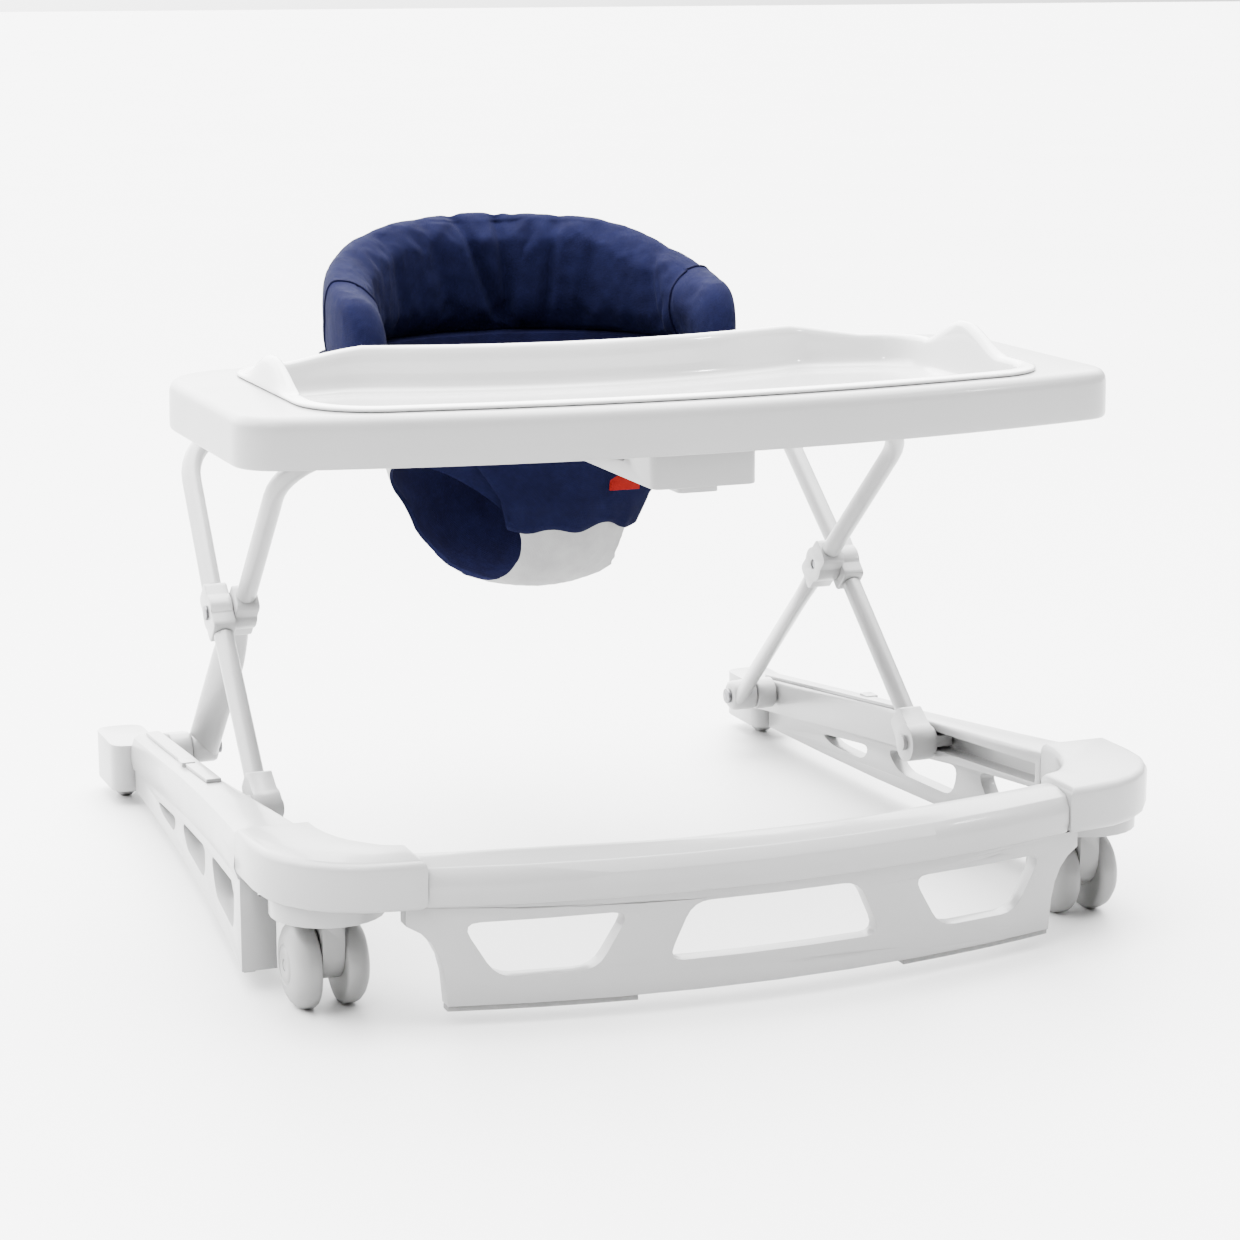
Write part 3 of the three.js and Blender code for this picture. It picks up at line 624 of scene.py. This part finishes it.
# Where gathers run down the back: angle at the top, half-width in degrees, depth in mm, lean in degrees.
GATHERS = [(150, 4.0, 2.2, 6), (131, 3.2, 3.0, -5), (97, 2.4, 9.0, -17), (110, 3.4, 3.5, -9), (82, 2.1, 8.0, -4),
           (76, 3.2, 3.2, 3), (61, 2.3, 5.0, 4), (44, 4.2, 2.6, 6), (24, 2.8, 4.5, -10), (10, 3.4, 2.4, -6)]


def gather_depth(degrees, height):
    """How far the gathers pull the cloth in at that angle, for height 0 at the bottom to 1 at the top."""
    total = 0.0
    for k, (top, half, depth, lean) in enumerate(GATHERS):
        t = (degrees - top - lean * (1 - height)) / half
        along = 0.45 + 0.55 * math.sin(math.pi * min(1.0, 0.15 + height) * (0.72 + 0.05 * (k % 4)))
        total += depth * math.exp(-t * t) * along
    return total


def pad_section(angle, shrink=1.0, n=44, grow=0.0):
    """The pad's closed cross-section at an angle round the seat, smaller where the wings end."""
    low = PAD_LOW - PAD_SINK
    half_h = (pad_top(angle) - low) / 2 * shrink + grow
    mid_z = low + half_h - grow
    half_t = PAD_HALF * (0.35 + 0.65 * shrink) + grow
    out = []
    for a in range(n):
        t = TAU * a / n
        u = math.copysign(abs(math.cos(t)) ** 0.75, math.cos(t))
        w = math.copysign(abs(math.sin(t)) ** 0.62, math.sin(t))
        r = PAD_MID + half_t * u * (1 - 0.1 * w) + 2.5 * max(0.0, w)
        out.append(Vector((r * math.cos(angle), SEAT_Y + r * math.sin(angle), mid_z + half_h * w)) * MM)
    return out


def swell(obj):
    """Puffs a closed cushion with a short cloth simulation that moves no point past the limit."""
    remesh = obj.modifiers.new("remesh", "REMESH")
    remesh.mode = "VOXEL"
    remesh.voxel_size = 5 * MM
    apply_modifiers(obj)
    before = [v.co.copy() for v in obj.data.vertices]
    cloth = obj.modifiers.new("cloth", "CLOTH")
    cloth.settings.use_pressure = True
    cloth.settings.uniform_pressure_force = SWELL_PRESSURE
    cloth.settings.effector_weights.gravity = 0
    cloth.point_cache.frame_start, cloth.point_cache.frame_end = 1, SWELL_FRAMES
    for step in range(1, SWELL_FRAMES + 1):
        bpy.context.scene.frame_set(step)
    apply_modifiers(obj)
    bpy.context.scene.frame_set(1)
    for v, at in zip(obj.data.vertices, before):
        move = v.co - at
        if move.length > SWELL_LIMIT * MM:
            v.co = at + move.normalized() * SWELL_LIMIT * MM


def gather(obj):
    """Sews the gathers and soft rumples into the pad's cover, and keeps it off the seat ring."""
    for v in obj.data.vertices:
        x, y = v.co.x / MM, v.co.y / MM - SEAT_Y
        angle, r, z = math.atan2(y, x), math.hypot(x, y), v.co.z / MM
        if angle < -math.pi / 2:
            angle += TAU
        height = min(1.0, max(0.0, (z - PAD_LOW) / (pad_top(angle) - PAD_LOW)))
        inside = min(1.0, max(0.0, (PAD_MID + 6 - r) / 12))
        pull = gather_depth(math.degrees(angle), height) * min(1.0, height * 5)
        place = Vector((math.cos(angle) * 6, math.sin(angle) * 6, z / 34 + 4 * inside))
        rumple = 1.5 * noise.noise(place) + 0.8 * noise.noise(place * 2.6)
        r += inside * (pull - rumple) - (1 - inside) * 0.4 * (0.5 * pull - rumple)
        z -= 0.35 * pull * max(0.0, height - 0.75) * 4
        v.co = Vector((r * math.cos(angle), SEAT_Y + r * math.sin(angle), max(z, PAD_LOW - 1.5))) * MM


def make_back_pad():
    """The pad round the back of the seat, with a domed end on each wing."""
    first, last, reach, dome = PAD_END, math.pi - PAD_END, WING_REACH, 12
    steps = [math.pi / 2 * (i + 0.5) / dome for i in range(dome)]
    rings = [pad_section(first - reach * math.cos(t), math.sin(t)) for t in steps]
    rings += [pad_section(first + (last - first) * i / 180) for i in range(181)]
    rings += [pad_section(last + reach * math.cos(t), math.sin(t)) for t in reversed(steps)]
    obj = loft("back_pad_cover", rings, NAVY)
    swell(obj)
    smoother = obj.modifiers.new("subdivision", "SUBSURF")
    smoother.levels = 1
    apply_modifiers(obj)
    gather(obj)
    obj.data.materials.clear()
    obj.data.materials.append(NAVY)
    smooth(obj)
    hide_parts("back_pad")
    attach(obj, "tray")


def make_piping(side, prefix):
    """The seam round the end panel of a wing, lying on the finished cover."""
    cover = bpy.data.objects["back_pad_cover"].data
    tree = BVHTree.FromPolygons([v.co for v in cover.vertices], [f.vertices for f in cover.polygons])
    angle = SEAM_ANGLE if side > 0 else math.pi - SEAM_ANGLE
    path = [tree.find_nearest(p)[0] for p in pad_section(angle, 1.0, 60, 5.0)]
    centre = sum(path, Vector()) / len(path)
    rings = []
    for i, p in enumerate(path):
        t = (path[(i + 1) % len(path)] - path[i - 1]).normalized()
        u = (p - centre).normalized()
        v = t.cross(u)
        rings.append([p + (u * a + v * b) for a, b in circle(10, 1.3 * MM)])
    obj = loft(f"{prefix}_wing_piping", rings, NAVY_TRIM, loop=True)
    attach(obj, "tray")


make_back_pad()
both_sides(make_piping)


# ---- The hanging seat ----

# Heights in mm with the cloth's half-width, half-length and middle there.
SLING = [(208, 0, 0, 140), (209.5, 34, 38, 140), (215, 56, 53, 138), (228, 77, 66, 136), (250, 98, 76, 133),
         (290, 119, 86, 129), (335, 133, 95, 128), (368, 142, 108, 129), (399, 150, 121, 130)]


LEG_CENTRE = {1: (89, 119, 268), -1: (-82.5, 104.5, 268)}
LEG_WIDE, LEG_TALL, LEG_TURN = 60, 52, 1.2
SLING_THICK, PANEL_THICK = 3, 2.2
PANEL_HEM = 267
TAG_MOVE = (-27, 17, -14)  # from the CAD block to the face of the front panel, in mm


def sling_row(z):
    """The sling's half-sizes and middle at height z, from the rows above and below."""
    for a, b in zip(SLING, SLING[1:]):
        if z <= b[0]:
            t = (z - a[0]) / (b[0] - a[0])
            return [p + (q - p) * t for p, q in zip(a, b)]
    return list(SLING[-1])


def sling_point(angle, z, out=0.0):
    """A point of the sling's outer face, moved out by so many mm."""
    _, rx, ry, cy = sling_row(z)
    wave = 1.6 * noise.noise(Vector((math.cos(angle) * 3, math.sin(angle) * 3, z / 40)))
    wave += 1.3 * math.sin(angle * 14) * max(0.0, (z - 300) / 100)
    slack = min(1.0, max(0.0, (290 - z) / 30))
    wave += 2.0 * slack * noise.noise(Vector((math.cos(angle) * 11, math.sin(angle) * 11, z / 80)))
    rx, ry = max(0.0, rx + out + wave), max(0.0, ry + out + wave)
    return Vector((rx * math.cos(angle), cy + ry * math.sin(angle), z)) * MM


def leg_cutter(side):
    """The round hole for a leg, as a solid that cuts the sling."""
    axis = Vector((side * math.sin(LEG_TURN), -math.cos(LEG_TURN), 0))
    across = Vector((axis.y, -axis.x, 0))
    up = Vector((0, 0, LEG_TALL))
    centre = Vector(LEG_CENTRE[side])
    rings = []
    for t in (-55, 90):
        rings.append([(centre + axis * t + across * LEG_WIDE * c + up * s) * MM for c, s in circle(72)])
    return loft("leg_cutter", rings, NAVY)


def hem_width(angle):
    """How much of the hem turns out over the seat ring: all of it behind, none in front."""
    return min(1.0, max(0.0, 0.5 + 1.5 * math.sin(angle)))


def make_sling():
    """The cloth bowl: white outside, navy inside and over the front, with a hem over the seat ring."""
    zs = [208.2, 208.8, 210, 213, 218, 224] + list(range(232, 400, 7)) + [399]
    n = 128
    rings = [[sling_point(TAU * i / n, z) for i in range(n)] for z in zs]
    for out in (4, 9, 15, 21, 27):
        rings.append([sling_point(TAU * i / n, 399, out * hem_width(TAU * i / n)) for i in range(n)])
        for p in rings[-1]:
            p.z += out * 0.02 * MM
    obj = loft("seat_sling_cloth", rings, LINING, caps=(True, False))
    obj.data.materials.append(NAVY_TRIM)
    obj.data.materials.append(NAVY)
    wall = obj.data.polygons[len(zs) // 2 * n]
    if wall.normal.dot(wall.center - Vector((0, SEAT_Y * MM, wall.center.z))) < 0:
        obj.data.flip_normals()
    thick = obj.modifiers.new("thick", "SOLIDIFY")
    thick.thickness = SLING_THICK * MM
    thick.offset = -1
    thick.material_offset = 1
    thick.material_offset_rim = 1
    apply_modifiers(obj)
    for side in (1, -1):
        cutter = leg_cutter(side)
        cut = obj.modifiers.new("cut", "BOOLEAN")
        cut.object = cutter
        cut.operation = "DIFFERENCE"
        cut.solver = "EXACT"
        apply_modifiers(obj)
        bpy.data.objects.remove(cutter)
    for face in obj.data.polygons:
        x, y, z = face.center
        if face.material_index == 0 and y < 0.1 and abs(x) < 0.112 and z > 0.272:
            face.material_index = 2
    smooth(obj, 50)
    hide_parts("seat_sling")
    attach(obj, "tray")
    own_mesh(obj)


def make_front_panel():
    """The navy panel between the leg openings, with a wavy hem."""
    rows, columns = 30, 48
    grid = []
    for j in range(rows + 1):
        v = j / rows
        row = []
        for i in range(columns + 1):
            u = i / columns * 2 - 1
            hem = PANEL_HEM - 2.6 * math.cos(u * 8.2) + 1.5 * math.sin(u * 5)
            z = 399 - (399 - hem) * v
            half = 1.04 - 0.49 * min(1.0, v * 1.25) ** 0.8
            angle = -math.pi / 2 + u * half + 0.09 * v
            billow = 3.2 + 2.2 * math.sin(math.pi * v) + 0.8 * math.sin(u * 7 + v * 3) * v
            row.append(sling_point(angle, z, billow))
        grid.append(row)
    obj = loft("seat_front_panel", grid, NAVY, closed=False, caps=(False, False))
    thick = obj.modifiers.new("thick", "SOLIDIFY")
    thick.thickness = PANEL_THICK * MM
    apply_modifiers(obj)
    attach(obj, "tray")
    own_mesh(obj)


make_sling()
make_front_panel()

tag = rounded_copy("seat_tag", RED, 0.4)
tag.data.transform(Matrix.Translation(Vector(TAG_MOVE) * MM))


# ---- Studio ----

FLOOR_HALF = 30
# The sky's brightness from the dark front to the bright top and back.
SKY_WAY = (-0.1, 0.45, 0.8)
SKY = {"From Min": 0.2, "From Max": 0.8, "To Min": 0.2, "To Max": 19.0}
# Name, place, aim, size in metres and power in watts.
LIGHTS = [("top_light", (0.2, 0.6, 2.8), (0, 0, 0.2), 2.0, 110),
          ("key_glint", (-1.5, -2.0, 1.9), (0, 0, 0.3), 0.16, 22),
          ("side_glint", (2.0, -1.6, 1.6), (0, 0, 0.3), 0.16, 14)]


def make_studio():
    """A pale floor, a soft sky and three area lights."""
    mesh = bpy.data.meshes.new("floor")
    size = FLOOR_HALF
    mesh.from_pydata([(-size, -size, 0), (size, -size, 0), (size, size, 0), (-size, size, 0)], [], [(0, 1, 2, 3)])
    floor = bpy.data.objects.new("floor", mesh)
    bpy.context.scene.collection.objects.link(floor)
    s = Shader("floor", 0.55)
    s.link(s.ramp(s.noise(1.5, 2), (0.55, 0.55, 0.55), (0.57, 0.57, 0.57)), "Base Color")
    mesh.materials.append(s.material)
    world = bpy.data.worlds.new("studio")
    world.use_nodes = True
    bpy.context.scene.world = world
    tree = world.node_tree
    way = tree.nodes.new("ShaderNodeTexCoord").outputs["Generated"]
    split = tree.nodes.new("ShaderNodeVectorMath")
    split.operation = "DOT_PRODUCT"
    split.inputs[1].default_value = SKY_WAY
    tree.links.new(way, split.inputs[0])
    glow = tree.nodes.new("ShaderNodeMapRange")
    glow.interpolation_type = "SMOOTHSTEP"
    for socket, value in SKY.items():
        glow.inputs[socket].default_value = value
    tree.links.new(split.outputs["Value"], glow.inputs["Value"])
    tree.links.new(glow.outputs["Result"], tree.nodes["Background"].inputs["Strength"])
    tree.nodes["Background"].inputs["Color"].default_value = (1, 1, 1, 1)
    for name, place, aim, size, power in LIGHTS:
        data = bpy.data.lights.new(name, "AREA")
        data.energy = power
        data.size = size
        light = bpy.data.objects.new(name, data)
        light.location = place
        light.rotation_euler = (Vector(aim) - Vector(place)).to_track_quat("-Z", "Y").to_euler()
        bpy.context.scene.collection.objects.link(light)


make_studio()
